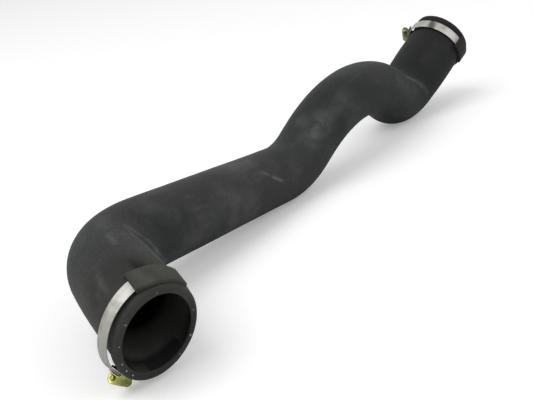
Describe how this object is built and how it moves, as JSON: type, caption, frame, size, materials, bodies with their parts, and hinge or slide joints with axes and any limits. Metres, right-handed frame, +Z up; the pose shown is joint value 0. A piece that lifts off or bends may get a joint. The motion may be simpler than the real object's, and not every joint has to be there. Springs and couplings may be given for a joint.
{
  "type": "charge air hose",
  "caption": "Moulded rubber charge air hose with S-shaped bends and a loose worm-drive clamp kept on each end by a bonded rubber strap.",
  "frame": {"origin": "bottom centre of the object's box: the hose lies on Z = 0 as it comes to rest, on its two low bends and on the near clamp's screw", "axes": "+Z up; +X along the hose's longest extent, from the near mouth towards the far one"},
  "size_m": [0.6016, 0.1426, 0.0926],
  "materials": {
    "hose_rubber": "matte moulded rubber, charcoal, slightly dusty",
    "strap_rubber": "matte rubber, slightly smoother than the hose",
    "band_steel": "satin bare steel strip",
    "plated_steel": "yellow-green zinc plate"
  },
  "bodies": {
    "hose": {"hose_body": "hose_rubber", "near_clamp_strap": "strap_rubber", "near_clamp_band": "band_steel", "near_clamp_housing": "plated_steel", "far_clamp_strap": "strap_rubber", "far_clamp_band": "band_steel", "far_clamp_housing": "plated_steel"},
    "near_screw": {"near_clamp_screw": "plated_steel"},
    "far_screw": {"far_clamp_screw": "plated_steel"}
  },
  "joints": [
    {"name": "near_screw_turn", "type": "hinge", "parent": "hose", "child": "near_screw", "pos_m": [-0.29006, -0.01961, 0.01137], "axis": [0.7342, -0.0683, -0.6755], "continuous": true},
    {"name": "far_screw_turn", "type": "hinge", "parent": "hose", "child": "far_screw", "pos_m": [0.27664, -0.00512, 0.07146], "axis": [-0.5406, -0.2119, 0.8142], "continuous": true}
  ]
}
